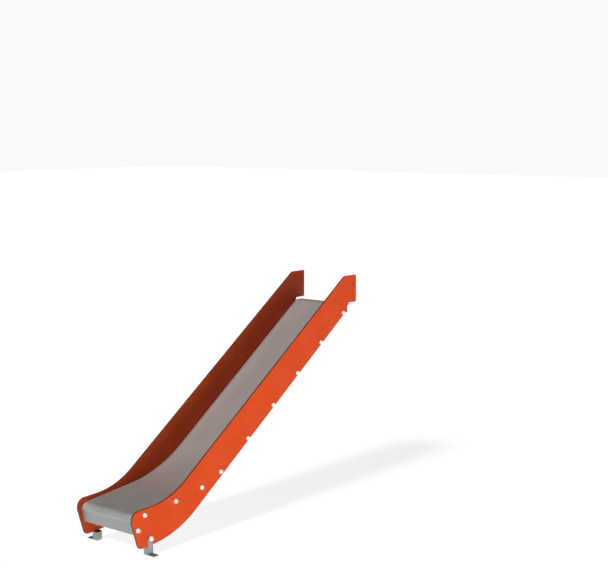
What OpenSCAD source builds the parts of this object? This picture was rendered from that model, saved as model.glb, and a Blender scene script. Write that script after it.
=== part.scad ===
// Straight playground slide with laminate side panels and a stainless bed.
// Frame: +Y runs uphill to the platform, +X is the left hand of a child who
// slides down, +Z is up, and the ground is at z = 0. Profiles are drawn as
// [y, z] in a plane of the slide's length, with y = 0 at the platform's front.

/* [Platform] */
// Height of the platform's top above the ground
deck_h = 1500; // [1200:10:1900]
// Thickness of the platform board that lies over the bed's top lip
deck_t = 13; // [10:1:25]
// Width of the platform posts that the side panels stand between
post_w = 95; // [80:1:125]

/* [Bed] */
// Clear width between the side panels
clear_w = 525; // [400:5:700]
// Slope of the chute in degrees
chute_slope = 34.75; // [25:0.25:40]
// Slope of the run-out in degrees
run_slope = 5.5; // [0:0.5:10]
// Length on the ground of the run-out, from where its line meets the chute's
run_len = 767; // [600:1:1000]
// Height where the run-out's line meets the apron's
exit_h = 291; // [240:1:350]
// Sheet thickness of the bed
sheet_t = 2; // [1.5:0.5:3]
// Reach of the flat top lip over the platform beam
lip_len = 50; // [40:5:70]
// Reach of the lip in front of the platform beam
lip_front = 12; // [8:1:20]
// Radius from the lip to the chute
top_r = 60; // [50:5:70]
// Radius from the chute to the run-out
bend_r = 1130; // [800:10:1200]
// Radius of the rounded nose
nose_r = 50; // [50:1:60]
// Length of the apron below the nose
apron_len = 136; // [120:1:170]
// Lean of the apron in degrees
apron_lean = 12; // [5:1:20]
// Radius of the hem under the apron
hem_r = 6; // [4:1:8]
// Length of the hem's inward fold
hem_len = 16; // [12:1:25]
// Gap between the sheet's edge and each side panel
sheet_gap = 0.5; // [0.5:0.5:2]
// Diameter of the four screw holes in the lip
lip_hole_d = 7; // [5:0.5:9]

/* [Side panels] */
// Thickness of a side panel
panel_t = 13; // [10:1:20]
// Height of a side panel above the chute, square to it
wall_h = 219; // [180:1:260]
// Depth of a side panel below the chute's surface, square to it
wall_drop = 29.5; // [28:0.5:45]
// Height of a side panel above the platform
rail_h = 221; // [180:1:300]
// Gap between a side panel and the platform's top
deck_gap = 3; // [1:1:10]
// Height of the panel's upper edge over the nose
exit_rise = 36; // [25:1:45]
// Slope of the upper edge at the exit in degrees
exit_slope = 2; // [0:0.5:5]
// Cover of the panel's front edge ahead of the nose's corner, square to the edge
front_cover = 34; // [28:1:45]
// Lean of the panel's front edge in degrees
front_lean = 17.5; // [10:0.5:20]
// Height above the ground of the lower edge's line under the nose
toe_h = 56; // [50:1:80]
// Slope of the lower edge at the exit in degrees
toe_slope = 3.3; // [2:0.1:6]
// Angle of the slanted end below the platform in degrees
heel_angle = 64; // [55:1:75]
// Distance of the slanted end from the platform's front
heel_gap = 8; // [6:1:15]
// Radius of the upper edge between chute and exit
upper_r = 628; // [450:1:750]
// Radius of the lower edge between chute and exit
lower_r = 845; // [600:5:950]
// Radius of the upper front corner
brow_r = 63; // [35:1:70]
// Radius of the lower front corner
toe_r = 41; // [30:1:60]
// Radius of the corner where the top rail turns down the chute
crest_r = 60; // [15:1:80]
// Radius of the small corners at the platform
small_r = 8; // [4:1:12]

/* [Stiffeners] */
// Thickness of the strips along the bed's edges
strip_t = 3; // [2:0.5:4]
// Depth of the edge strips below the sheet
strip_d = 26; // [22:1:30]
// Width of a cross rib along the slide
rib_w = 40; // [30:1:60]
// Depth of a cross rib below the sheet
rib_d = 24; // [16:1:26]
// Plate thickness of a cross rib
rib_t = 2.5; // [2:0.5:4]
// Thickness of the platform bracket
bracket_t = 5; // [4:1:8]
// Height of the bracket's upright leg
bracket_h = 65; // [55:1:75]
// Length of the bracket's leg under the chute
bracket_leg = 60; // [45:1:90]
// Diameter of the bracket's bolt holes
bracket_hole_d = 11; // [9:0.5:13]
// Distance between neighbouring bracket holes
bracket_pitch = 140; // [100:5:160]
// Depth of the bracket holes below the lip
bracket_hole_drop = 44; // [35:1:50]

/* [Panel bolts] */
// Thread diameter of the panel bolts
bolt_d = 8; // [6:1:8]
// Clearance of every bolt in its hole
bolt_clear = 1; // [0.5:0.5:2]
// Depth of the bolt line below the sheet's underside
bolt_under = 8.5; // [8.5:0.5:14]
// Distance down the chute from the lip's bend line to the first bolt
bolt_first = 87; // [70:1:110]
// Distance from the last chute bolt to the end of the bend
bolt_last = 399; // [300:1:450]
// Number of chute bolts on each side
bolt_count = 6; // [4:1:7]
// Distance from the bend's bolt to the end of the bend
bend_bolt = 187; // [100:1:230]
// Distance up the run-out from the nose to its front bolt
front_bolt = 93; // [75:1:110]
// Distance up the run-out from the nose to its rear bolt
rear_bolt = 397; // [300:1:420]
// Distance down the apron from the nose to the apron bolt
apron_bolt = 98; // [85:1:105]
// Diameter of a bolt cap's lid
cap_d = 32; // [24:1:36]
// Height of a bolt cap above the panel
cap_h = 20; // [9:0.5:24]

/* [Feet] */
// Distance of a foot's middle behind the nose
foot_back = 145; // [120:1:180]
// Width of a foot along the slide
foot_w = 48; // [40:1:60]
// Width of a foot across the slide
foot_d = 45; // [38:1:55]
// Plate thickness of a foot's walls
foot_t = 4; // [3:0.5:5]
// Thickness of a foot's base plate
base_t = 6; // [5:1:8]
// Reach of the base plate beyond the foot's strap
base_out = 56; // [45:1:70]
// Diameter of the anchor hole in the base plate
anchor_d = 13; // [11:1:15]
// Thickness of the packer that shows between a foot and its panel
packer_gap = 4; // [2:1:8]
// Depth of the packer inside the foot
packer_in = 14; // [8:1:20]
// Thread diameter of the foot bolt
foot_bolt_d = 10; // [8:1:12]
// Height of the foot bolt above the panel's lower edge
foot_bolt_up = 50; // [38:1:55]
// Diameter of the foot bolt's cap
foot_cap_d = 36; // [32:1:40]
// Height of the foot bolt's cap above the foot's strap
foot_cap_h = 24; // [12:0.5:28]

/* [Post fixing] */
// Diameter of the post hole in each side panel
post_hole_d = 11; // [9:0.5:13]
// Height of the post hole above the platform
post_hole_h = 148; // [100:1:180]

/* [Hidden] */
$fn = 48;
CUT = 1;
ARC_STEP = 2;
HEAD_H = 4.4;
CAP_WALL = 1.6;
CAP_PLAY = 0.3;
CUP_LIP = 1.4;
PEAK_GAP = 0.5;
BOLT_TIP = 2;
PANEL = "#dd5526";
STEEL = "#b4b6b5";
ZINC = "#a9adad";
WHITE = "#f2efe9";
BLACK = "#1d1c1b";

function unit_at(h) = [cos(h), sin(h)];
function left_of(h) = [-sin(h), cos(h)];
function heading(a, b) = atan2(b[1] - a[1], b[0] - a[0]);
function wrap(a) = a > 180 ? a - 360 : a < -180 ? a + 360 : a;
function last(list) = list[len(list) - 1];
function reversed(list) = [for (i = [len(list) - 1:-1:0]) list[i]];
function place(p, h) = [p[0], p[1], h];
// Point where the line through p at slope a crosses the line through q at slope b
function meet(p, a, q, b) =
    let (u = unit_at(a), v = unit_at(b), w = q - p)
    p + u * (w[0] * v[1] - w[1] * v[0]) / (u[0] * v[1] - u[1] * v[0]);
// Arc of radius r that rounds the corner b, as [y, z, heading] places
function corner_arc(a, b, c, r) =
    let (
        h = heading(a, b),
        turn = wrap(heading(b, c) - h),
        side = sign(turn),
        start = b - unit_at(h) * r * tan(abs(turn) / 2),
        centre = start + left_of(h) * side * r,
        steps = max(4, ceil(abs(turn) / ARC_STEP))
    )
    [for (i = [0:steps])
        let (g = h + turn * i / steps)
        place(centre - left_of(g) * side * r, g)];
// Outline with every corner [y, z, radius] rounded
function rounded(corners) =
    let (n = len(corners), at = [for (c = corners) [c[0], c[1]]])
    [for (i = [0:n - 1])
        each corner_arc(at[(i + n - 1) % n], at[i], at[(i + 1) % n], corners[i][2])];
// Path moved by a distance to its left, which is under the bed
function shifted(path, d) = [for (p = path) [p[0], p[1]] + left_of(p[2]) * d];

// Bed surface: lip, chute, run-out, nose, apron and hem
lip_z = deck_h - deck_t;
knee_z = exit_h + run_len * tan(run_slope);
lip_end = [lip_len, lip_z];
crown = [-lip_front, lip_z];
knee = [crown[0] - (lip_z - knee_z) / tan(chute_slope), knee_z];
nose = [knee[0] - run_len, exit_h];
apron_heading = 270 + apron_lean;
apron_end = nose + unit_at(apron_heading) * apron_len;
hem_end = apron_end + [hem_len, 0];
top_arc = corner_arc(lip_end, crown, knee, top_r);
bend_arc = corner_arc(crown, knee, nose, bend_r);
nose_arc = corner_arc(knee, nose, apron_end, nose_r);
hem_arc = corner_arc(nose, apron_end, hem_end, hem_r);
sheet_path = concat([place(lip_end, 180)], top_arc, bend_arc, nose_arc, hem_arc,
    [place(hem_end, 360)]);
strip_stop = apron_end - unit_at(apron_heading) * (2 * hem_r + sheet_t);
strip_path = concat([last(top_arc)], bend_arc, nose_arc, [place(strip_stop, apron_heading)]);

// Places of bolts and ribs, as [y, z, heading] on the bed's surface
bend_start = norm(knee - crown) - bend_r * tan((chute_slope - run_slope) / 2);
bend_end = bend_start + bend_r * (chute_slope - run_slope) * PI / 180;
bend_centre = crown - unit_at(chute_slope) * bend_start - left_of(180 + chute_slope) * bend_r;
function chute_at(s) =
    let (a = 180 + chute_slope - max(0, s - bend_start) / bend_r * 180 / PI)
    s < bend_start
        ? place(crown - unit_at(chute_slope) * s, a)
        : place(bend_centre + left_of(a) * bend_r, a);
function run_at(s) = place(nose + unit_at(run_slope) * s, 180 + run_slope);
function apron_at(s) = place(nose + unit_at(apron_heading) * s, apron_heading);
bolt_pitch = (bend_end - bolt_last - bolt_first) / (bolt_count - 1);
function chute_bolt(i) = chute_at(bolt_first + i * bolt_pitch);
bolt_places = shifted(concat(
    [for (i = [0:bolt_count - 1]) chute_bolt(i)],
    [chute_at(bend_end - bend_bolt), run_at(rear_bolt), run_at(front_bolt), apron_at(apron_bolt)]),
    sheet_t + bolt_under);
rib_pitch = (bend_end - bolt_last - bolt_first) / 5;
rib_places = concat(
    [for (i = [0:4]) chute_at(bolt_first + (i + 0.5) * rib_pitch)],
    [run_at((front_bolt + rear_bolt) / 2)]);

// Side panel outline
wall_up = left_of(chute_slope) * wall_h;
wall_down = left_of(chute_slope) * wall_drop;
rail_z = deck_h + rail_h;
brow = nose + [0, exit_rise];
front_heading = 270 + front_lean;
front = nose - [front_cover / cos(front_lean), 0];
toe = [nose[0], toe_h];
heel = [-heel_gap, deck_h];
notch_z = deck_h + deck_gap;
function with_r(p, r) = [p[0], p[1], r];
panel_corners = [
    [post_w, rail_z, small_r],
    with_r(meet([0, rail_z], 0, crown + wall_up, chute_slope), crest_r),
    with_r(meet(crown + wall_up, chute_slope, brow, exit_slope), upper_r),
    with_r(meet(brow, exit_slope, front, front_heading), brow_r),
    with_r(meet(front, front_heading, toe, toe_slope), toe_r),
    with_r(meet(toe, toe_slope, crown - wall_down, chute_slope), lower_r),
    with_r(meet(crown - wall_down, chute_slope, heel, heel_angle), 2 * small_r),
    with_r(meet([0, notch_z], 0, heel, heel_angle), small_r / 2),
    [post_w, notch_z, small_r]
];
panel_line = rounded(panel_corners);
panel_front = min([for (p = panel_line) p[0]]);
mid_y = (panel_front + post_w) / 2;
function toe_z(y) = toe_h + (y - toe[0]) * tan(toe_slope);

// Places across the slide, from the middle outwards
inner_x = clear_w / 2;
outer_x = inner_x + panel_t;
strip_x = inner_x - strip_t;

// Feet and their bolt
foot_y = nose[0] + foot_back;
foot_front = foot_y - foot_w / 2;
foot_top = toe_z(foot_front) - packer_gap;
foot_x = outer_x + foot_t - foot_d;
strap_x = outer_x + foot_t;
foot_bolt_z = toe_z(foot_y) + foot_bolt_up;
strap_round = 14;
anchor_x = strap_x + base_out / 2;

// Fastener sizes follow the thread diameter
function head_d(d) = 1.75 * d;
function nut_h(d) = d;
function washer_d(d) = 2 * d;
function washer_h(d) = d / 5;
grip = panel_t + strip_t;
foot_grip = panel_t + foot_t;

// Profile drawn in [y, z], extruded across the slide from x0 to x1
module across(x0, x1) {
    translate([x0, -mid_y, 0]) rotate([90, 0, 90]) linear_extrude(x1 - x0) children();
}
module right_side(right) {
    mirror([right ? 1 : 0, 0, 0]) children();
}
module both_sides() {
    children();
    mirror([1, 0, 0]) children();
}
// A place on the left side at [y, z], with the local z axis pointing outwards
module at_place(x, p) {
    translate([x, p[0] - mid_y, p[1]]) rotate([0, 90, 0]) children();
}
// Round bar from x0 to x1 at the place p
module bar(p, x0, x1, d) {
    at_place(x0, p) cylinder(h = x1 - x0, d = d);
}
// Strip between two distances below a path
module band(path, near, far) {
    polygon(concat(shifted(path, near), reversed(shifted(path, far))));
}

module side_panel(right) {
    color(PANEL) right_side(right) difference() {
        across(inner_x, outer_x) polygon([for (p = panel_line) [p[0], p[1]]]);
        for (p = bolt_places)
            bar(p, inner_x - CUT, outer_x + CUT, bolt_d + bolt_clear);
        bar([foot_y, foot_bolt_z], inner_x - CUT, outer_x + CUT, foot_bolt_d + bolt_clear);
        bar([post_w / 2, deck_h + post_hole_h], inner_x - CUT, outer_x + CUT, post_hole_d);
    }
}
module bed_sheet() {
    sheet_x = inner_x - sheet_gap;
    color(STEEL) difference() {
        across(-sheet_x, sheet_x) band(sheet_path, 0, sheet_t);
        for (i = [-1.5:1:1.5])
            translate([i * bracket_pitch, lip_len / 2 - mid_y, lip_z - sheet_t - CUT])
                cylinder(h = sheet_t + 2 * CUT, d = lip_hole_d);
    }
}
module edge_strip(right) {
    color(STEEL) right_side(right) difference() {
        across(strip_x, inner_x) band(strip_path, sheet_t, sheet_t + strip_d);
        for (p = bolt_places)
            bar(p, strip_x - CUT, inner_x + CUT, bolt_d + bolt_clear);
    }
}
// Inverted channel under the sheet, between the edge strips
module rib(i) {
    p = rib_places[i];
    color(ZINC) across(-strip_x, strip_x)
        translate([p[0], p[1]]) rotate(p[2]) translate([-rib_w / 2, sheet_t]) difference() {
            square([rib_w, rib_d]);
            translate([rib_t, rib_t]) square([rib_w - 2 * rib_t, rib_d]);
        }
}
// Folded plate under the top of the chute that bolts to the platform beam
module platform_bracket() {
    top_mid = lip_front - top_r * tan(chute_slope / 2);
    under_r = top_r - sheet_t;
    drop = top_mid < 0 ? top_r - sqrt(under_r * under_r - top_mid * top_mid) : sheet_t;
    peak_z = lip_z - drop - PEAK_GAP;
    down = -left_of(chute_slope);
    peak = [0, peak_z];
    bend = [last(top_arc)[0], last(top_arc)[1]] + down * sheet_t;
    tail = bend - unit_at(chute_slope) * bracket_leg;
    slope = heading(bend, peak);
    inner = bend - left_of(slope) * bracket_t;
    foot_z = lip_z - bracket_h;
    color(ZINC) difference() {
        across(-strip_x, strip_x) polygon([
            [0, foot_z],
            peak,
            bend,
            tail,
            tail + down * bracket_t,
            meet(tail + down * bracket_t, chute_slope, inner, slope),
            meet(inner, slope, [-bracket_t, 0], 90),
            [-bracket_t, foot_z]
        ]);
        for (i = [-1.5:1:1.5])
            translate([i * bracket_pitch, CUT - mid_y, lip_z - bracket_hole_drop])
                rotate([90, 0, 0]) cylinder(h = bracket_t + 2 * CUT, d = bracket_hole_d);
    }
}
// Folded channel, open uphill, with a strap up the panel and a base plate
module foot(right) {
    back = foot_front + foot_w;
    strap_top = foot_bolt_z + strap_round;
    color(ZINC) right_side(right) difference() {
        union() {
            across(foot_x, strap_x) polygon([
                [foot_front, 0], [foot_front + foot_t, 0],
                [foot_front + foot_t, foot_top], [foot_front, foot_top]]);
            across(foot_x, foot_x + foot_t) polygon([
                [foot_front, 0], [back, 0], [back, foot_top], [foot_front, foot_top]]);
            across(outer_x, strap_x) polygon([
                [foot_front, 0],
                [back, 0],
                [back, strap_top - strap_round],
                [back - strap_round, strap_top],
                [foot_front + strap_round, strap_top],
                [foot_front, strap_top - strap_round]]);
            across(foot_x, strap_x + base_out) polygon([
                [foot_front, 0], [back, 0], [back, base_t], [foot_front, base_t]]);
        }
        bar([foot_y, foot_bolt_z], outer_x - CUT, strap_x + CUT, foot_bolt_d + bolt_clear);
        translate([anchor_x, foot_y - mid_y, -CUT]) cylinder(h = base_t + 2 * CUT, d = anchor_d);
    }
}
// Block in the top of the foot, cut to the slope of the panel's lower edge
module packer(right) {
    front_y = foot_front + foot_t;
    back_y = foot_front + foot_w;
    color(BLACK) right_side(right) across(foot_x + foot_t, outer_x) polygon([
        [front_y, foot_top - packer_in],
        [back_y, foot_top - packer_in],
        [back_y, toe_z(back_y)],
        [front_y, toe_z(front_y)]]);
}
// Bolt with a domed head outside, its thread pointing inwards, from the seat down
module bolt(d, length) {
    dome = head_d(d);
    color(ZINC) union() {
        translate([0, 0, -length]) cylinder(h = length + HEAD_H / 4, d = d);
        cylinder(h = HEAD_H / 2, d = dome);
        translate([0, 0, HEAD_H / 2]) cylinder(h = HEAD_H / 2, d1 = dome, d2 = dome * 0.7);
    }
}
module washer(d) {
    color(ZINC) difference() {
        cylinder(h = washer_h(d), d = washer_d(d));
        translate([0, 0, -CUT]) cylinder(h = washer_h(d) + 2 * CUT, d = d + bolt_clear);
    }
}
module nut(d) {
    color(ZINC) difference() {
        cylinder(h = nut_h(d), d = 1.8 * d, $fn = 6);
        translate([0, 0, -CUT]) cylinder(h = nut_h(d) + 2 * CUT, d = d);
    }
}
// Cup that the bolt head holds against the panel
module cap_cup(d, wide) {
    rim_d = wide - 2 * CAP_WALL - 2 * CAP_PLAY;
    color(WHITE) difference() {
        cylinder(h = CAP_WALL + CUP_LIP, d = rim_d);
        translate([0, 0, CAP_WALL]) cylinder(h = CUP_LIP + CUT, d = rim_d - 2 * CAP_WALL);
        translate([0, 0, -CUT]) cylinder(h = CAP_WALL + 2 * CUT, d = d + bolt_clear);
    }
}
// Half section of a dome with a straight skirt, shrunk by a wall thickness
module dome_section(wide, high, wall) {
    skirt = CAP_WALL + CUP_LIP + CAP_PLAY;
    rise = high - skirt;
    dome_r = (rise * rise + wide * wide / 4) / (2 * rise);
    intersection() {
        union() {
            translate([0, high - dome_r]) circle(r = dome_r - wall, $fn = 96);
            translate([0, -CUT]) square([wide / 2, max(high - dome_r, skirt) + CUT]);
        }
        translate([0, -CUT]) square([wide / 2 - wall, high + 2 * CUT]);
    }
}
// Domed lid that snaps over the cup
module cap_lid(wide, high) {
    color(WHITE) rotate_extrude() difference() {
        intersection() {
            dome_section(wide, high, 0);
            square([wide, high + CUT]);
        }
        dome_section(wide, high, CAP_WALL);
    }
}
// The same piece at every panel bolt of one side, at the distance x outwards
module per_bolt(right, x) {
    right_side(right) for (p = bolt_places) at_place(x, p) children();
}
module per_foot(x) {
    both_sides() at_place(x, [foot_y, foot_bolt_z]) children();
}
bolt_len = CAP_WALL + grip + washer_h(bolt_d) + nut_h(bolt_d) + BOLT_TIP;
foot_bolt_len = CAP_WALL + foot_grip + washer_h(foot_bolt_d) + nut_h(foot_bolt_d) + BOLT_TIP;
module bolts(right) { per_bolt(right, outer_x + CAP_WALL) bolt(bolt_d, bolt_len); }
module washers(right) { per_bolt(right, strip_x - washer_h(bolt_d)) washer(bolt_d); }
module nuts(right) { per_bolt(right, strip_x - washer_h(bolt_d) - nut_h(bolt_d)) nut(bolt_d); }
module cap_cups(right) { per_bolt(right, outer_x) cap_cup(bolt_d, cap_d); }
module cap_lids(right) { per_bolt(right, outer_x) cap_lid(cap_d, cap_h); }
module foot_bolts() { per_foot(strap_x + CAP_WALL) bolt(foot_bolt_d, foot_bolt_len); }
module foot_washers() { per_foot(inner_x - washer_h(foot_bolt_d)) washer(foot_bolt_d); }
module foot_nuts() {
    per_foot(inner_x - washer_h(foot_bolt_d) - nut_h(foot_bolt_d)) nut(foot_bolt_d);
}
module foot_cap_cups() { per_foot(strap_x) cap_cup(foot_bolt_d, foot_cap_d); }
module foot_cap_lids() { per_foot(strap_x) cap_lid(foot_cap_d, foot_cap_h); }

side_panel(false);  // side_panel_left
side_panel(true);  // side_panel_right
bed_sheet();
edge_strip(false);  // edge_strip_left
edge_strip(true);  // edge_strip_right
rib(0);  // rib_1
rib(1);  // rib_2
rib(2);  // rib_3
rib(3);  // rib_4
rib(4);  // rib_5
rib(5);  // rib_6
platform_bracket();
foot(false);  // foot_left
foot(true);  // foot_right
packer(false);  // packer_left
packer(true);  // packer_right
bolts(false);  // bolts_left
bolts(true);  // bolts_right
washers(false);  // washers_left
washers(true);  // washers_right
nuts(false);  // nuts_left
nuts(true);  // nuts_right
cap_cups(false);  // cap_cups_left
cap_cups(true);  // cap_cups_right
cap_lids(false);  // cap_lids_left
cap_lids(true);  // cap_lids_right
foot_bolts();
foot_washers();
foot_nuts();
foot_cap_cups();
foot_cap_lids();
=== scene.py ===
# %% [markdown]
# # A straight playground slide
# The slide is two laminate side panels, a bent stainless bed that is bolted
# between them, and two zinc-coated feet at the exit end. The exact parts come
# from the imported model; this lesson gives them their finishes, and rebuilds the
# ones whose edges and curves the light should play on. The first cell brings
# the model in.

# %% Load the slide
import bmesh
import bpy
import math
import numpy as np
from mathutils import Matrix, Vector
from mathutils.geometry import tessellate_polygon


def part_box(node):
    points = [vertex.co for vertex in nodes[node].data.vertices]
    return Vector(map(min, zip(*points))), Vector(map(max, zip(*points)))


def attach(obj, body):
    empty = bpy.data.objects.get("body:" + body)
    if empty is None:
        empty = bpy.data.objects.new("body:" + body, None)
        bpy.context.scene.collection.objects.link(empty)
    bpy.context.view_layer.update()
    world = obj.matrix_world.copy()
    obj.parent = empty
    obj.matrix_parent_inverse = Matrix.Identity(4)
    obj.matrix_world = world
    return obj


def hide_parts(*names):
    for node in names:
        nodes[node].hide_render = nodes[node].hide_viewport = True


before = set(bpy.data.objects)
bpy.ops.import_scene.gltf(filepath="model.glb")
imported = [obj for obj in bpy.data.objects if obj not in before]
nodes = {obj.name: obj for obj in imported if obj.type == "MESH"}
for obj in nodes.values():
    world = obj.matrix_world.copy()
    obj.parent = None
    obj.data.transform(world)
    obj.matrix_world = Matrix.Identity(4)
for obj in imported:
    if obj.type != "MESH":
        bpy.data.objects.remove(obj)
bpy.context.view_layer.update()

# %% [markdown]
# The camera stands in front of the exit, to the left hand of a child who
# slides down, at a little under three metres. A long lens keeps the two panels
# almost parallel. The numbers are its place in metres, its turn about the
# vertical, its tilt down from level, and its focal length for a 36 mm sensor.

# %% Camera
CAMERA_PLACE = (6.540, -7.185, 2.921)
CAMERA_TURN = 38.87
CAMERA_TILT = 6.93
CAMERA_LENS = 77.57


def stand_camera(place, turn, tilt, lens):
    data = bpy.data.cameras.new("slide_camera")
    data.lens = lens
    data.sensor_width = 36.0
    data.clip_end = 100.0
    camera = bpy.data.objects.new("slide_camera", data)
    camera.location = place
    camera.rotation_euler = (math.radians(90 - tilt), 0.0, math.radians(turn))
    bpy.context.scene.collection.objects.link(camera)
    bpy.context.scene.camera = camera
    return camera


camera = stand_camera(CAMERA_PLACE, CAMERA_TURN, CAMERA_TILT, CAMERA_LENS)
print("camera at", CAMERA_PLACE)

# %% [markdown]
# Every profile on this slide is a chain of straight lines with round corners,
# drawn in the plane of its length: the first number runs uphill from the
# platform's front, the second is the height. A corner becomes an arc that
# touches both lines. The helpers below work out such arcs as whole arrays, and
# also give the heading of the path at each point, which later says where
# "under the sheet" or "into the board" is.

# %% Lines and round corners
ARC_STEP = math.radians(2.0)


def unit_at(angle):
    return np.stack([np.cos(angle), np.sin(angle)], axis=-1)


def left_of(angle):
    return np.stack([-np.sin(angle), np.cos(angle)], axis=-1)


def meet(p, a, q, b):
    """Where the line through p at angle a crosses the line through q at angle b."""
    u, v, w = unit_at(a), unit_at(b), np.subtract(q, p)
    return p + u * (w[0] * v[1] - w[1] * v[0]) / (u[0] * v[1] - u[1] * v[0])


def corner_arc(a, b, c, radius):
    """Arc that rounds corner b: its centre lies a radius to the turning side."""
    before = math.atan2(b[1] - a[1], b[0] - a[0])
    after = math.atan2(c[1] - b[1], c[0] - b[0])
    turn = (after - before + math.pi) % (2 * math.pi) - math.pi
    start = b - unit_at(before) * radius * math.tan(abs(turn) / 2)
    centre = start + left_of(before) * math.copysign(radius, turn)
    steps = max(4, math.ceil(abs(turn) / ARC_STEP))
    headings = before + turn * np.linspace(0.0, 1.0, steps + 1)
    return centre - left_of(headings) * math.copysign(radius, turn), headings


def rounded_loop(corners, radii):
    """Closed outline: one arc per corner, joined by straight lines."""
    before, after = np.roll(corners, 1, axis=0), np.roll(corners, -1, axis=0)
    arcs = [corner_arc(*four) for four in zip(before, corners, after, radii)]
    return np.concatenate([points for points, _ in arcs])


# %% [markdown]
# The slide's own measures, in metres. The bed starts as a flat lip under the
# platform board, dives down the chute, sweeps into the run-out, and ends in a
# round nose, an apron that leans back, and a hem. The chute's line and the
# run-out's line meet at the knee, and all the other corners follow from it.

# %% Measures of the slide
SHEET, PANEL = 0.002, 0.013
LIP_Z, LIP_REACH, LIP_FRONT = 1.487, 0.050, 0.012
CHUTE, RUN, LEAN = math.radians(34.75), math.radians(5.5), math.radians(12.0)
RUN_LENGTH, EXIT_Z = 0.767, 0.291
TOP_R, BEND_R, NOSE_R, HEM_R = 0.060, 1.130, 0.050, 0.006
APRON, HEM = 0.136, 0.016
APRON_HEADING = math.radians(270.0) + LEAN

platform_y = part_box("platform_bracket")[1][1]
inner_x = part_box("side_panel_left")[0][0]
outer_x = inner_x + PANEL
sheet_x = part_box("bed_sheet")[1][0]

crown = np.array([-LIP_FRONT, LIP_Z])
knee_z = EXIT_Z + RUN_LENGTH * math.tan(RUN)
knee = np.array([crown[0] - (LIP_Z - knee_z) / math.tan(CHUTE), knee_z])
nose = np.array([knee[0] - RUN_LENGTH, EXIT_Z])
apron_end = nose + unit_at(APRON_HEADING) * APRON
lip_end = np.array([LIP_REACH, LIP_Z])
hem_end = apron_end + [HEM, 0.0]
print("knee", knee.round(4), "nose", nose.round(4), "half width", round(sheet_x, 4))

# %% Path of the bed's upper surface
bed_corners = [
    (lip_end, crown, knee, TOP_R),
    (crown, knee, nose, BEND_R),
    (knee, nose, apron_end, NOSE_R),
    (nose, apron_end, hem_end, HEM_R),
]
bed_arcs = [corner_arc(*corner) for corner in bed_corners]
bed_points = np.concatenate([[lip_end]] + [points for points, _ in bed_arcs] + [[hem_end]])
bed_headings = np.concatenate([[math.pi]] + [g for _, g in bed_arcs] + [[2 * math.pi]])
bed_travel = np.concatenate(
    [[0.0], np.cumsum(np.linalg.norm(np.diff(bed_points, axis=0), axis=1))])
print("bed path", round(bed_travel[-1], 3), "m in", len(bed_points), "points")

# %% [markdown]
# A mesh is arrays of corners and faces. This one helper turns them into a
# piece of the slide: it sets smooth or flat shading per face, gives each face
# its finish, writes a UV map when the finish has to follow the surface, and
# makes the piece ride on the slide's one body.

# %% Put a piece together
def make_piece(name, corners, faces, finishes, smooth=True, finish_of=None, uv=None):
    mesh = bpy.data.meshes.new(name)
    mesh.from_pydata(np.asarray(corners).tolist(), [], [list(map(int, f)) for f in faces])
    count = len(mesh.polygons)
    flags = np.broadcast_to(np.asarray(smooth, dtype=bool), count)
    mesh.polygons.foreach_set("use_smooth", flags.copy())
    for finish in finishes:
        mesh.materials.append(finish)
    if finish_of is not None:
        mesh.polygons.foreach_set("material_index", np.asarray(finish_of, dtype=np.int32))
    if uv is not None:
        corner_of = np.empty(len(mesh.loops), dtype=np.int32)
        mesh.loops.foreach_get("vertex_index", corner_of)
        layer = mesh.uv_layers.new(name="surface")
        layer.data.foreach_set("uv", np.asarray(uv, dtype=np.float32)[corner_of].ravel())
    mesh.update()
    piece = bpy.data.objects.new(name, mesh)
    bpy.context.scene.collection.objects.link(piece)
    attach(piece, "root")
    return piece


def strip_faces(rows, columns, closed, start=0):
    """Quads between rows of equal length; row r's corner c is start + r * columns + c."""
    r, c = np.meshgrid(np.arange(rows - 1), np.arange(columns if closed else columns - 1),
                       indexing="ij")
    d = (c + 1) % columns
    quads = np.stack([r * columns + c, r * columns + d,
                      (r + 1) * columns + d, (r + 1) * columns + c], axis=-1)
    return start + quads.reshape(-1, 4)


def in_space(profile, x):
    """Profile points [uphill, height] at the distance x from the slide's middle."""
    x = np.broadcast_to(x, profile.shape[:-1])
    return np.stack([x, profile[..., 0] + platform_y, profile[..., 1]], axis=-1)


# %% [markdown]
# ## Finishes
# Small helpers keep the node trees readable: one adds a node, one links two
# sockets, and one makes a noise whose grain is given in millimetres, which is
# how a maker would describe it.

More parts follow.
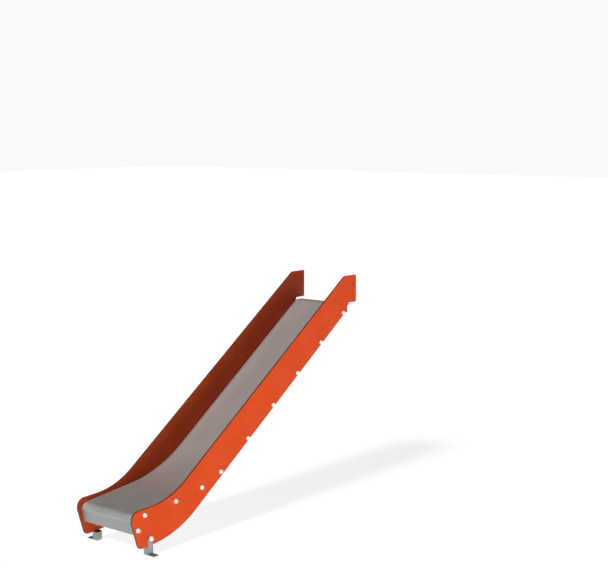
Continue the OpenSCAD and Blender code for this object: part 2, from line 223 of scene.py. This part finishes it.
# %% Helpers for finishes
class Finish:
    """A node tree for one finish, with its Principled shader ready."""

    def __init__(self, name):
        self.material = bpy.data.materials.new(name)
        self.material.use_nodes = True
        self.tree = self.material.node_tree
        self.shader = self.tree.nodes["Principled BSDF"]
        self.places = self.add("ShaderNodeTexCoord")

    def add(self, kind, **settings):
        node = self.tree.nodes.new(kind)
        for key, value in settings.items():
            if key in node.bl_rna.properties:
                setattr(node, key, value)
            else:
                node.inputs[key.replace("_", " ")].default_value = value
        return node

    def link(self, source, target):
        self.tree.links.new(source, target)

    def stretched(self, stretch, source="Object"):
        """Coordinates multiplied axis by axis, to draw a grain out in one direction."""
        mapping = self.add("ShaderNodeMapping", Scale=stretch)
        self.link(self.places.outputs[source], mapping.inputs["Vector"])
        return mapping.outputs["Vector"]

    def noise(self, grain_mm, detail, vector=None):
        node = self.add("ShaderNodeTexNoise", Scale=1000.0 / grain_mm, Detail=detail)
        self.link(vector or self.places.outputs["Object"], node.inputs["Vector"])
        return node.outputs["Fac"]

    def ramp(self, value, low, high, out_low, out_high, smooth=False):
        """Carries low..high over to out_low..out_high, with eased ends if smooth."""
        node = self.add("ShaderNodeMapRange")
        if smooth:
            node.interpolation_type = "SMOOTHSTEP"
        for key, number in zip(("From Min", "From Max", "To Min", "To Max"),
                               (low, high, out_low, out_high)):
            node.inputs[key].default_value = number
        self.link(value, node.inputs["Value"])
        return node.outputs["Result"]

    def blend(self, factor, first, second):
        """Mixes two colours, each a colour tuple or a socket, by a socket's value."""
        node = self.add("ShaderNodeMix", data_type="RGBA")
        ends = [s for s in node.inputs if s.type == "RGBA"]
        for end, colour in zip(ends, (first, second)):
            if isinstance(colour, tuple):
                end.default_value = (*colour, 1.0)
            else:
                self.link(colour, end)
        self.link(factor, node.inputs["Factor"])
        return next(s for s in node.outputs if s.type == "RGBA")

    def combine(self, first, second, operation="ADD"):
        """Sum of two values, or another operation on them; each is a number or a socket."""
        node = self.add("ShaderNodeMath", operation=operation)
        for end, value in zip(node.inputs, (first, second)):
            if isinstance(value, float):
                end.default_value = value
            else:
                self.link(value, end)
        return node.outputs["Value"]

    def bump(self, height, depth_mm, strength=1.0):
        node = self.add("ShaderNodeBump", Strength=strength, Distance=depth_mm / 1000.0)
        self.link(height, node.inputs["Height"])
        self.link(node.outputs["Normal"], self.shader.inputs["Normal"])

    def set(self, **values):
        for key, value in values.items():
            socket = self.shader.inputs[key.replace("_", " ")]
            if isinstance(value, bpy.types.NodeSocket):
                self.link(value, socket)
            else:
                socket.default_value = (*value, 1.0) if isinstance(value, tuple) else value


# %% [markdown]
# The panels are compact laminate: a hard orange-red face over a dark core of
# pressed paper that shows wherever the board is cut. The face is satin, with a
# very fine pebble grain and faint rub marks that run along the slide. The inner
# faces are a darker copy of the face colour, painted shade for the shade between
# the panels. The core is dark brown with thin layers parallel to the faces.

# %% Laminate face and core
def laminate_face(name, fresh, faded, gloss):
    f = Finish(name)
    cloud = f.noise(220.0, 4.0)
    grain = f.noise(1.6, 2.0)
    rubs = f.noise(9.0, 3.0, f.stretched((1.0, 0.06, 0.10)))
    tone = f.blend(f.ramp(cloud, 0.35, 0.65, 0.0, 1.0), fresh, faded)
    tone = f.blend(f.ramp(rubs, 0.62, 0.80, 0.0, 0.06), tone, (0.80, 0.22, 0.12))
    f.set(Base_Color=tone, Roughness=f.ramp(rubs, 0.4, 0.8, gloss, gloss + 0.12))
    f.set(Specular_IOR_Level=0.12)
    f.bump(f.combine(grain, f.ramp(rubs, 0.5, 0.9, 0.0, 0.6)), 0.06, 0.5)
    return f.material


def laminate_core():
    f = Finish("laminate_core")
    layers = f.noise(0.55, 2.0, f.stretched((1.0, 0.01, 0.01)))
    blotch = f.noise(14.0, 4.0)
    tone = f.blend(f.ramp(layers, 0.3, 0.7, 0.0, 1.0), (0.034, 0.015, 0.008), (0.075, 0.034, 0.018))
    tone = f.blend(f.ramp(blotch, 0.45, 0.75, 0.0, 0.45), tone, (0.12, 0.062, 0.036))
    f.set(Base_Color=tone, Roughness=f.ramp(blotch, 0.3, 0.7, 0.48, 0.66))
    f.bump(layers, 0.05, 0.5)
    return f.material


outer_face = laminate_face("laminate_outside", (0.74, 0.064, 0.004), (0.78, 0.076, 0.008), 0.40)
# The inner faces' darker colour is painted shade, for the shade between the panels.
shaded_inner_face = laminate_face("laminate_inside_painted_shade", (0.50, 0.054, 0.006), (0.56, 0.066, 0.010), 0.46)
core_finish = laminate_core()
print("finishes", outer_face.name, shaded_inner_face.name, core_finish.name)

# %% [markdown]
# The bed is cold-rolled stainless steel. Years of trousers polish it along the
# middle, so the sheet is smoother there and duller next to the panels. Fine
# lines run with the slide, and a few longer scratches cross them. The pattern
# has to go round the bend with the sheet, so it reads the sheet's own UV map:
# the first number is the distance across, the second the distance travelled.
# The chute is a warm grey and the run-out a cooler, darker grey: painted
# reflection of the orange panels and the pale sky, and painted shade on the
# run-out. The apron below the nose is darker again, as painted shade.

# %% Stainless steel of the bed
RUN_START = bed_travel[1 + sum(len(points) for points, _ in bed_arcs[:2])]
APRON_START = bed_travel[sum(len(points) for points, _ in bed_arcs[:3])]
print("run-out starts", round(RUN_START, 3), "apron starts", round(APRON_START, 3))
RUN_FADE, APRON_FADE = 0.12, 0.03
DULL_FROM, DULL_TO = 0.10, 0.26


def bed_steel():
    f = Finish("bed_stainless")
    lines = f.noise(1.1, 3.0, f.stretched((1.0, 0.012, 1.0), "UV"))
    scratch = f.noise(3.0, 2.0, f.stretched((1.0, 0.02, 1.0), "UV"))
    cloud = f.noise(160.0, 3.0, f.stretched((1.0, 0.45, 1.0), "UV"))
    split = f.add("ShaderNodeSeparateXYZ")
    f.link(f.places.outputs["UV"], split.inputs["Vector"])
    across, travelled = split.outputs["X"], split.outputs["Y"]
    edge = f.ramp(f.combine(across, 0.0, "ABSOLUTE"), DULL_FROM, DULL_TO, 0.0, 1.0, smooth=True)
    on_run = f.ramp(travelled, RUN_START, RUN_START + RUN_FADE, 0.0, 1.0, smooth=True)
    on_apron = f.ramp(travelled, APRON_START - APRON_FADE, APRON_START, 0.0, 1.0, smooth=True)
    # The chute's warm grey, in random patches, is partly a painted reflection of the orange panels.
    tone = f.blend(f.ramp(cloud, 0.3, 0.7, 0.0, 1.0), (0.51, 0.50, 0.475), (0.57, 0.56, 0.535))
    # Painted reflection and painted shade: the run-out's cooler, darker grey.
    tone = f.blend(on_run, tone, (0.33, 0.40, 0.413))
    # Painted shade: the apron's darker grey.
    tone = f.blend(on_apron, tone, (0.30, 0.30, 0.305))
    tone = f.blend(f.ramp(scratch, 0.66, 0.72, 0.0, 0.35), tone, (0.60, 0.60, 0.60))
    gloss = f.combine(f.ramp(edge, 0.0, 1.0, 0.36, 0.44), f.ramp(lines, 0.3, 0.7, -0.03, 0.05))
    f.set(Base_Color=tone, Metallic=0.55, Roughness=gloss)
    f.bump(f.combine(lines, f.combine(cloud, 8.0, "MULTIPLY")), 0.035, 0.45)
    return f.material


def plain_steel():
    f = Finish("welded_stainless")
    cloud = f.noise(35.0, 4.0)
    lines = f.noise(1.5, 2.0, f.stretched((0.02, 1.0, 1.0)))
    tone = f.blend(f.ramp(cloud, 0.35, 0.7, 0.0, 1.0), (0.36, 0.36, 0.355), (0.47, 0.465, 0.455))
    f.set(Base_Color=tone, Metallic=1.0, Roughness=f.ramp(cloud, 0.3, 0.7, 0.34, 0.46))
    f.bump(lines, 0.03, 0.4)
    return f.material


bed_finish, strip_finish = bed_steel(), plain_steel()
print("finishes", bed_finish.name, strip_finish.name)

# %% [markdown]
# Hot-dip zinc sets in flat crystals a few millimetres wide, each a slightly
# different grey. A Voronoi texture gives the crystals, and a soft noise under
# it the dull bloom that zinc gets outdoors. Bolts are plated and brighter.

# %% Zinc finishes
def dipped_zinc():
    f = Finish("dipped_zinc")
    crystals = f.add("ShaderNodeTexVoronoi", Scale=190.0)
    f.link(f.places.outputs["Object"], crystals.inputs["Vector"])
    split = f.add("ShaderNodeSeparateColor")
    f.link(crystals.outputs["Color"], split.inputs["Color"])
    bloom = f.noise(18.0, 4.0)
    tone = f.blend(split.outputs["Red"], (0.25, 0.252, 0.255), (0.37, 0.372, 0.375))
    tone = f.blend(f.ramp(bloom, 0.45, 0.75, 0.0, 0.55), tone, (0.43, 0.432, 0.43))
    gloss = f.combine(f.ramp(split.outputs["Green"], 0.0, 1.0, 0.34, 0.44),
                     f.ramp(bloom, 0.4, 0.8, 0.0, 0.16))
    f.set(Base_Color=tone, Metallic=0.9, Roughness=gloss)
    f.bump(bloom, 0.12, 0.5)
    return f.material


def plated_zinc():
    f = Finish("plated_zinc")
    cloud = f.noise(5.0, 3.0)
    tone = f.blend(f.ramp(cloud, 0.35, 0.7, 0.0, 1.0), (0.62, 0.62, 0.60), (0.74, 0.74, 0.72))
    f.set(Base_Color=tone, Metallic=1.0, Roughness=f.ramp(cloud, 0.3, 0.7, 0.24, 0.36))
    return f.material


zinc_finish, bolt_finish = dipped_zinc(), plated_zinc()
print("finishes", zinc_finish.name, bolt_finish.name)

# %% [markdown]
# The bolt caps are glossy white nylon. Rain leaves a thin grey line where a cap
# meets its panel, so the finish darkens a little at the bottom of the skirt;
# the cap's UV map gives the height above the panel. The packers are black
# plastic with a fine moulded grain, and their near-black also stands in for the
# shade in the top of each foot, as painted shade.

# %% Plastics
def cap_nylon():
    f = Finish("cap_nylon")
    split = f.add("ShaderNodeSeparateXYZ")
    f.link(f.places.outputs["UV"], split.inputs["Vector"])
    patch = f.noise(4.0, 3.0)
    grime = f.combine(f.ramp(split.outputs["Y"], 0.0, 0.0022, 0.5, 0.0, smooth=True), patch,
                     "MULTIPLY")
    tone = f.blend(grime, (0.86, 0.85, 0.82), (0.36, 0.33, 0.29))
    f.set(Base_Color=tone, Roughness=f.ramp(patch, 0.3, 0.7, 0.24, 0.34), Coat_Weight=0.15)
    f.set(Subsurface_Weight=0.06, Subsurface_Scale=0.002)
    f.bump(patch, 0.02, 0.3)
    return f.material


def packer_plastic_and_painted_shade():
    f = Finish("packer_plastic_and_painted_shade")
    grain = f.noise(0.9, 2.0)
    dust = f.noise(12.0, 4.0)
    # Near-black: the packer's own colour, and painted shade at the top of the foot.
    tone = f.blend(f.ramp(dust, 0.45, 0.8, 0.0, 0.5), (0.014, 0.014, 0.014), (0.05, 0.048, 0.045))
    f.set(Base_Color=tone, Roughness=f.ramp(dust, 0.3, 0.7, 0.5, 0.68))
    f.bump(grain, 0.08, 0.6)
    return f.material


def cup_nylon():
    f = Finish("cup_nylon")
    patch = f.noise(6.0, 3.0)
    tone = f.blend(f.ramp(patch, 0.35, 0.7, 0.0, 1.0), (0.74, 0.73, 0.70), (0.84, 0.83, 0.80))
    f.set(Base_Color=tone, Roughness=f.ramp(patch, 0.3, 0.7, 0.32, 0.44))
    f.bump(patch, 0.02, 0.3)
    return f.material


cap_finish, cup_finish, packer_and_shade_black = cap_nylon(), cup_nylon(), packer_plastic_and_painted_shade()
print("finishes", cap_finish.name, cup_finish.name, packer_and_shade_black.name)

# %% [markdown]
# ## The bed
# The sheet is its path drawn out across the slide: each path point gives four
# corners, two on the upper skin and two a sheet's thickness below it, so a
# strip of quads round them closes the sheet. Only the flat lip is different,
# because it has four screw holes: its two skins are filled as flat shapes with
# holes, and a ring of quads lines each hole. The skins are shaded smooth, and
# every edge sharper than 40 degrees is marked sharp, because the skins' shading
# would otherwise lean towards the sides of the sheet and catch a false
# highlight on the nose.

# %% Flat shapes with holes
HOLE_SIDES = 24
NO_AREA = 1e-14


def ring(centre, radius):
    """Points of a circle, run clockwise so that it bounds a hole."""
    angle = -np.linspace(0.0, 2 * math.pi, HOLE_SIDES, endpoint=False)
    return np.asarray(centre) + radius * unit_at(angle)


def filled(outline, holes):
    """Triangles of a flat shape with holes, as numbers into outline + holes."""
    loops = [[Vector((p[0], p[1], 0.0)) for p in loop] for loop in (outline, *holes)]
    flat = np.concatenate([outline, *holes])
    tris = np.array(tessellate_polygon(loops))
    a, b, c = (flat[tris[:, k]] for k in range(3))
    area = (b[:, 0] - a[:, 0]) * (c[:, 1] - a[:, 1]) - (b[:, 1] - a[:, 1]) * (c[:, 0] - a[:, 0])
    tris[area < 0] = tris[area < 0][:, ::-1]
    return tris[np.abs(area) > NO_AREA]


print("a hole has", HOLE_SIDES, "sides")

# %% Bed sheet
LIP_HOLES = (-0.210, -0.070, 0.070, 0.210)
LIP_HOLE_R = 0.0035
SHARP_FROM = math.radians(40.0)


def bed_sheet():
    """Corner = path point + left normal * (0 or sheet), at x = plus or minus half width."""
    under = bed_points + left_of(bed_headings) * SHEET
    rows = np.stack([in_space(bed_points, sheet_x), in_space(bed_points, -sheet_x),
                     in_space(under, -sheet_x), in_space(under, sheet_x)], axis=1)
    corners = rows.reshape(-1, 3)
    travel = np.repeat(bed_travel, 4)
    quads = strip_faces(len(bed_points), 4, closed=True)
    skin_of_lip = [0, 2]
    body = np.delete(quads, skin_of_lip, axis=0)
    last = 4 * (len(bed_points) - 1)
    ends = np.array([[0, 3, 2, 1], [last, last + 1, last + 2, last + 3]])

    lip_start, lip_stop = in_space(bed_points[1], 0.0)[1], in_space(bed_points[0], 0.0)[1]
    outline = np.array([[-sheet_x, lip_start], [sheet_x, lip_start],
                        [sheet_x, lip_stop], [-sheet_x, lip_stop]])
    middle = platform_y + LIP_REACH / 2
    holes = [ring((x, middle), LIP_HOLE_R) for x in LIP_HOLES]
    tris = filled(outline, holes)
    rims = np.concatenate(holes)
    first = len(corners)
    top = np.column_stack([rims, np.full(len(rims), LIP_Z)])
    low = top - [0.0, 0.0, SHEET]
    corners = np.concatenate([corners, top, low])
    travel = np.concatenate([travel, np.full(2 * len(rims), LIP_REACH / 2)])
    upper = np.concatenate([[5, 4, 0, 1], np.arange(first, first + len(rims))])
    lower = np.concatenate([[6, 7, 3, 2], np.arange(first + len(rims), first + 2 * len(rims))])
    here = first + np.arange(len(rims))
    after = first + np.roll(np.arange(len(rims)).reshape(-1, HOLE_SIDES), -1, axis=1).ravel()
    walls = np.column_stack([after, here, here + len(rims), after + len(rims)])
    faces = [*body, *ends, *upper[tris], *lower[tris][:, ::-1], *walls]
    uv = np.column_stack([corners[:, 0], travel])
    is_skin = np.delete(np.tile([True, False, True, False], len(bed_points) - 1), skin_of_lip)
    ends_and_lip = np.zeros(len(ends) + 2 * len(tris), dtype=bool)
    smooth = np.concatenate([is_skin, ends_and_lip, np.ones(len(walls), dtype=bool)])
    return make_piece("chute_bed", corners, faces, [bed_finish], smooth=smooth,
                      uv=uv)


bed = bed_sheet()
bed.data.set_sharp_from_angle(angle=SHARP_FROM)
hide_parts("bed_sheet")
print("chute_bed", len(bed.data.polygons), "faces")

# %% [markdown]
# ## The side panels
# A panel is a board with one long outline: a rail between the platform posts,
# an upper edge down the chute, a hollow curve into the run-out, a round front,
# and a lower edge that follows the bed. The outline is closed and rounded as
# the bed's path is. Its arrises are eased by hand on the real board, so a
# quarter circle a little over a millimetre wide is carried round the outline
# and round every hole, and the two faces are filled between them.

# %% Outline and holes of a panel
WALL_H, WALL_DROP = 0.219, 0.0295
RAIL_Z, NOTCH_Z, POST = 1.721, 1.503, 0.095
EXIT_RISE, FRONT_COVER, TOE_Z, HEEL_GAP = 0.036, 0.034, 0.056, 0.008
BROW_SLOPE, TOE_SLOPE, HEEL_ANGLE = math.radians(2.0), math.radians(3.3), math.radians(64.0)
FRONT_LEAN = math.radians(17.5)
FRONT_HEADING = math.radians(270.0) + FRONT_LEAN

wall_up, wall_down = left_of(CHUTE) * WALL_H, left_of(CHUTE) * WALL_DROP
brow, toe = nose + [0.0, EXIT_RISE], np.array([nose[0], TOE_Z])
front = nose - [FRONT_COVER / math.cos(FRONT_LEAN), 0.0]
heel = np.array([-HEEL_GAP, 1.500])
panel_corners = np.array([
    [POST, RAIL_Z],
    meet((0.0, RAIL_Z), 0.0, crown + wall_up, CHUTE),
    meet(crown + wall_up, CHUTE, brow, BROW_SLOPE),
    meet(brow, BROW_SLOPE, front, FRONT_HEADING),
    meet(front, FRONT_HEADING, toe, TOE_SLOPE),
    meet(toe, TOE_SLOPE, crown - wall_down, CHUTE),
    meet(crown - wall_down, CHUTE, heel, HEEL_ANGLE),
    meet((0.0, NOTCH_Z), 0.0, heel, HEEL_ANGLE),
    [POST, NOTCH_Z],
])
PANEL_RADII = (0.008, 0.060, 0.628, 0.063, 0.041, 0.845, 0.016, 0.004, 0.008)
panel_outline = rounded_loop(panel_corners, PANEL_RADII)

# %% Places of the bolts
BOLT_DEPTH = 0.0105
CHUTE_BOLTS, FIRST_BOLT, LAST_BOLT, BEND_BOLT = 6, 0.087, 0.399, 0.187
REAR_BOLT, FRONT_BOLT, APRON_BOLT = 0.397, 0.093, 0.098
BOLT_HOLE_R, WIDE_HOLE_R, POST_HOLE_Z = 0.0045, 0.0055, 1.648

bend_start = np.linalg.norm(knee - crown) - BEND_R * math.tan((CHUTE - RUN) / 2)
bend_end = bend_start + BEND_R * (CHUTE - RUN)
bend_centre = crown - unit_at(CHUTE) * bend_start - left_of(CHUTE + math.pi) * BEND_R


def down_the_bed(distance):
    """Points and headings at distances from the crown: first straight, then round the bend."""
    s = np.asarray(distance, dtype=float)
    angle = CHUTE + math.pi - np.maximum(0.0, s - bend_start) / BEND_R
    straight = crown - unit_at(CHUTE) * s[:, None]
    curved = bend_centre + left_of(angle) * BEND_R
    return np.where((s < bend_start)[:, None], straight, curved), angle


chute_bolts = np.linspace(FIRST_BOLT, bend_end - LAST_BOLT, CHUTE_BOLTS)
on_bed, bed_angle = down_the_bed([*chute_bolts, bend_end - BEND_BOLT])
on_run = nose + unit_at(RUN) * np.array([[REAR_BOLT], [FRONT_BOLT]])
on_apron = nose + unit_at(APRON_HEADING) * APRON_BOLT
bolt_angles = np.concatenate([bed_angle, [RUN + math.pi] * 2, [APRON_HEADING]])
bolt_places = (np.concatenate([on_bed, on_run, [on_apron]])
               + left_of(bolt_angles) * BOLT_DEPTH)
foot_low, foot_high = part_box("foot_bolts")
foot_bolt = np.array([(foot_low[1] + foot_high[1]) / 2 - platform_y,
                      (foot_low[2] + foot_high[2]) / 2])
post_hole = np.array([POST / 2, POST_HOLE_Z])
panel_holes = ([ring(p, BOLT_HOLE_R) for p in bolt_places]
               + [ring(foot_bolt, WIDE_HOLE_R), ring(post_hole, WIDE_HOLE_R)])
print("outline", len(panel_outline), "points,", len(panel_holes), "holes in a panel")

# %% A board with eased arrises
ARRIS, ARRIS_STEPS = 0.0012, 4


def into_board(loop):
    """Unit normals of a loop that point into the board, from its neighbours' chord."""
    chord = np.roll(loop, -1, axis=0) - np.roll(loop, 1, axis=0)
    normal = np.stack([-chord[:, 1], chord[:, 0]], axis=1)
    return normal / np.linalg.norm(normal, axis=1, keepdims=True)


def board(name, outline, holes, x_in, x_out, mirrored):
    """Rings round each loop: inset = e(1 - sin t), depth = e(1 - cos t), then the same back."""
    t = np.linspace(0.0, math.pi / 2, ARRIS_STEPS)
    inset = ARRIS * (1 - np.sin(t))
    depth = ARRIS * (1 - np.cos(t))
    inset = np.concatenate([inset, inset[::-1]])
    level = np.concatenate([x_in + depth, x_out - depth[::-1]])
    corners, edge_faces, face_rims, start = [], [], [], 0
    for loop in (outline, *holes):
        inward = into_board(loop)
        rings = loop[None] + inset[:, None, None] * inward[None]
        corners.append(in_space(rings, level[:, None]).reshape(-1, 3))
        edge_faces.append(strip_faces(len(inset), len(loop), True, start))
        last_ring = start + (len(inset) - 1) * len(loop)
        face_rims.append((rings[0], start + np.arange(len(loop)),
                          last_ring + np.arange(len(loop))))
        start += len(inset) * len(loop)
    tris = filled(face_rims[0][0], [rim[0] for rim in face_rims[1:]])
    inner = np.concatenate([rim[1] for rim in face_rims])[tris][:, ::-1]
    outer = np.concatenate([rim[2] for rim in face_rims])[tris]
    edges = np.concatenate(edge_faces)
    corners = np.concatenate(corners)
    faces = [*edges, *inner, *outer]
    if mirrored:
        corners[:, 0] *= -1.0
        faces = [f[::-1] for f in faces]
    kind = np.repeat([0, 1, 2], [len(edges), len(inner), len(outer)])
    return make_piece(name, corners, faces, [core_finish, shaded_inner_face, outer_face],
                      smooth=kind == 0, finish_of=kind)


for side in ("left", "right"):
    panel = board(f"laminate_panel_{side}", panel_outline, panel_holes, inner_x, outer_x,
                  side == "right")
    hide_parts(f"side_panel_{side}")
    print(panel.name, len(panel.data.polygons), "faces")

# %% [markdown]
# ## Bolt caps
# A cap is turned: its half section goes from the top of the dome, down the
# outside of the skirt, under the rim and back up the hollow inside. Each point
# of that section becomes a ring, and the two ends close at a pole. The same
# turned shape is set over every bolt.

# %% Bolt caps
CAP_WALL, SKIRT, RIM_EASE = 0.0016, 0.0033, 0.0004
CAP_D, CAP_H, FOOT_CAP_D, FOOT_CAP_H = 0.032, 0.020, 0.036, 0.024
CAP_TURNS, DOME_POINTS, HOLLOW_POINTS = 40, 14, 8


def dome(radius, top, points):
    """Arc from the pole (0, top) to where it first reaches the radius, as [radius, height]."""
    rise = top - SKIRT
    r = (rise * rise + radius * radius) / (2 * rise)
    angle = np.linspace(0.0, math.asin(radius / r), points)
    return np.column_stack([r * np.sin(angle), top - r + r * np.cos(angle)])


def cap_section(wide, high):
    """Half section of a lid: dome, eased skirt, rim, and the hollow inside."""
    outer = dome(wide / 2, high, DOME_POINTS)
    rim = np.array([[wide / 2, RIM_EASE], [wide / 2 - 0.3 * RIM_EASE, 0.3 * RIM_EASE],
                    [wide / 2 - RIM_EASE, 0.0], [wide / 2 - CAP_WALL, 0.0]])
    inner = dome(wide / 2 - CAP_WALL, high - CAP_WALL, HOLLOW_POINTS)[::-1]
    return np.concatenate([outer, rim, inner])


def turned(section, places, x_seat, mirrored):
    """Corner = place + radius * (cos, sin) in the panel's plane, height outwards along x."""
    angle = np.linspace(0.0, 2 * math.pi, CAP_TURNS, endpoint=False)
    body = section[1:-1]
    flat = places[:, None, None] + body[None, :, 0, None, None] * unit_at(angle)[None, None]
    x = np.broadcast_to(x_seat + body[None, :, 1, None], flat.shape[:-1])
    rings = in_space(flat, x).reshape(len(places), -1, 3)
    poles = np.stack([in_space(places, x_seat + section[0, 1]),
                      in_space(places, x_seat + section[-1, 1])], axis=1)
    corners = np.concatenate([rings, poles], axis=1)
    size = corners.shape[1]
    quads = strip_faces(len(body), CAP_TURNS, True)
    turn = np.arange(CAP_TURNS)
    after = (turn + 1) % CAP_TURNS
    last = (len(body) - 1) * CAP_TURNS
    top = np.column_stack([after, turn, np.full(CAP_TURNS, size - 2)])
    low = np.column_stack([last + turn, last + after, np.full(CAP_TURNS, size - 1)])
    faces = []
    for k in range(len(places)):
        faces += [*(quads[:, ::-1] + k * size), *(top[:, ::-1] + k * size),
                  *(low[:, ::-1] + k * size)]
    heights = np.concatenate([np.repeat(body[:, 1], CAP_TURNS), section[[0, -1], 1]])
    uv = np.column_stack([np.zeros(size), heights])
    corners = corners.reshape(-1, 3)
    if mirrored:
        corners[:, 0] *= -1.0
        faces = [f[::-1] for f in faces]
    return corners, faces, np.tile(uv, (len(places), 1))


def caps(name, wide, high, places, x_seat, mirrored):
    corners, faces, uv = turned(cap_section(wide, high), places, x_seat, mirrored)
    return make_piece(name, corners, faces, [cap_finish], uv=uv)


for side in ("left", "right"):
    lids = caps(f"bolt_caps_{side}", CAP_D, CAP_H, bolt_places, outer_x, side == "right")
    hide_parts(f"cap_lids_{side}")
strap_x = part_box("foot_cap_lids")[1][0] - FOOT_CAP_H
foot_section = cap_section(FOOT_CAP_D, FOOT_CAP_H)
left_lid = turned(foot_section, foot_bolt[None], strap_x, False)
right_lid = turned(foot_section, foot_bolt[None], strap_x, True)
foot_lids = make_piece(
    "foot_caps", np.concatenate([left_lid[0], right_lid[0]]),
    [*left_lid[1], *[f + len(left_lid[0]) for f in right_lid[1]]],
    [cap_finish], uv=np.concatenate([left_lid[2], right_lid[2]]))
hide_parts("foot_cap_lids")
print("caps", 2 * len(bolt_places), "on the panels, 2 on the feet")

# %% [markdown]
# ## Feet, packers and the folded plates
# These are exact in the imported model, but their corners are razor sharp, and
# cut or folded steel never is. A copy of each is welded back into whole
# corners, its flat faces are joined, and a Bevel modifier rounds the corners.

# %% Softened copies
WELD, FLAT_WITHIN, ROUND_FROM = 1e-5, math.radians(1.0), math.radians(35.0)
FOOT_ROUND, FOLD_ROUND, RIB_ROUND = 0.0009, 0.0008, 0.0006


def softened(node, name, width, finish):
    mesh = nodes[node].data.copy()
    mesh.name = name
    build = bmesh.new()
    build.from_mesh(mesh)
    bmesh.ops.remove_doubles(build, verts=build.verts, dist=WELD)
    bmesh.ops.dissolve_limit(build, angle_limit=FLAT_WITHIN, verts=build.verts,
                             edges=build.edges)
    build.to_mesh(mesh)
    build.free()
    mesh.polygons.foreach_set("use_smooth", np.ones(len(mesh.polygons), dtype=bool))
    mesh.materials.clear()
    mesh.materials.append(finish)
    piece = bpy.data.objects.new(name, mesh)
    bpy.context.scene.collection.objects.link(piece)
    bevel = piece.modifiers.new("rounded corners", "BEVEL")
    bevel.width = width
    bevel.segments = 3
    bevel.limit_method = "ANGLE"
    bevel.angle_limit = ROUND_FROM
    bevel.harden_normals = True
    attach(piece, "root")
    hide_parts(node)
    return piece


for side in ("left", "right"):
    softened(f"foot_{side}", f"folded_foot_{side}", FOOT_ROUND, zinc_finish)
    softened(f"packer_{side}", f"moulded_packer_{side}", FOLD_ROUND,
             packer_and_shade_black)
softened("platform_bracket", "folded_bracket", FOLD_ROUND, zinc_finish)
for k in range(1, 7):
    softened(f"rib_{k}", f"folded_rib_{k}", RIB_ROUND, strip_finish)
print("softened copies made")

# %% [markdown]
# The strips, bolts, washers, nuts and cap cups keep the exact shapes of the
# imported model. They only need their finishes.

# %% Finishes of the exact parts
def dress(node, finish):
    mesh = nodes[node].data
    mesh.materials.clear()
    mesh.materials.append(finish)


for side in ("left", "right"):
    dress(f"edge_strip_{side}", strip_finish)
    dress(f"cap_cups_{side}", cup_finish)
    for kind in ("bolts", "washers", "nuts"):
        dress(f"{kind}_{side}", bolt_finish)
for kind in ("foot_bolts", "foot_washers", "foot_nuts"):
    dress(kind, bolt_finish)
dress("foot_cap_cups", cup_finish)
print("exact parts dressed")

# %% [markdown]
# ## Floor and light
# A pale floor runs out to a pale sky, and glows a little by itself, so that the
# slide's shadow on it stays faint. A sun stands in front of the exit, about
# halfway up: it shines along the slide, lights the bed, the nose and the apron,
# and only grazes the upright panels. A low, long softbox stands off the outer
# side of the left panel. It brightens that panel, which in turn keeps the inner
# side of the right panel out of its light.

# %% Floor
FLOOR, FLOOR_GLOW = 60.0, 0.84


def pale_floor():
    f = Finish("pale_floor")
    f.set(Base_Color=f.blend(f.ramp(f.noise(900.0, 2.0), 0.3, 0.7, 0.0, 1.0),
                             (0.27, 0.27, 0.27), (0.29, 0.29, 0.29)), Roughness=0.9)
    f.set(Specular_IOR_Level=0.0, Emission_Color=(1.0, 1.0, 1.0), Emission_Strength=FLOOR_GLOW)
    return f.material


floor_mesh = bpy.data.meshes.new("floor")
floor_mesh.from_pydata([(-FLOOR, -FLOOR, 0), (FLOOR, -FLOOR, 0), (FLOOR, FLOOR, 0),
                        (-FLOOR, FLOOR, 0)], [], [(0, 1, 2, 3)])
floor_mesh.materials.append(pale_floor())
floor = bpy.data.objects.new("floor", floor_mesh)
bpy.context.scene.collection.objects.link(floor)
print("floor", 2 * FLOOR, "m square")


# %% Lights
def softbox(name, place, aim, size, watts):
    data = bpy.data.lights.new(name, "AREA")
    data.shape = "RECTANGLE"
    data.size, data.size_y = size
    data.energy = watts
    light = bpy.data.objects.new(name, data)
    light.location = place
    light.rotation_euler = (Vector(aim) - Vector(place)).to_track_quat("-Z", "Y").to_euler()
    bpy.context.scene.collection.objects.link(light)
    return light


def front_sun(name, strength, spread, tilt):
    data = bpy.data.lights.new(name, "SUN")
    data.energy = strength
    data.angle = math.radians(spread)
    light = bpy.data.objects.new(name, data)
    light.rotation_euler = (math.radians(tilt), 0.0, 0.0)
    bpy.context.scene.collection.objects.link(light)
    return light


front_sun("sky_panel", strength=2.9, spread=12.0, tilt=48.0)
softbox("side_light", place=(5.6, -0.9, 0.45), aim=(0.0, -0.3, 0.6), size=(3.4, 0.7),
        watts=124.0)

# %% [markdown]
# The pale background that the camera sees would light the chute from all
# sides, so the world is only that bright where the camera looks straight at
# it, and dimmer for everything that it lights or is mirrored in.

# %% World
WORLD_LIGHT, WORLD_SEEN = 0.05, 0.95

world = bpy.data.worlds.new("studio")
world.use_nodes = True
tree = world.node_tree
background = tree.nodes["Background"]
background.inputs["Color"].default_value = (1.0, 1.0, 1.0, 1.0)
seen = tree.nodes.new("ShaderNodeLightPath")
strength = tree.nodes.new("ShaderNodeMapRange")
strength.inputs["To Min"].default_value = WORLD_LIGHT
strength.inputs["To Max"].default_value = WORLD_SEEN
tree.links.new(seen.outputs["Is Camera Ray"], strength.inputs["Value"])
tree.links.new(strength.outputs["Result"], background.inputs["Strength"])
bpy.context.scene.world = world
bpy.context.scene.view_settings.view_transform = "Standard"
print("world", WORLD_LIGHT, "on the slide,", WORLD_SEEN, "behind it")
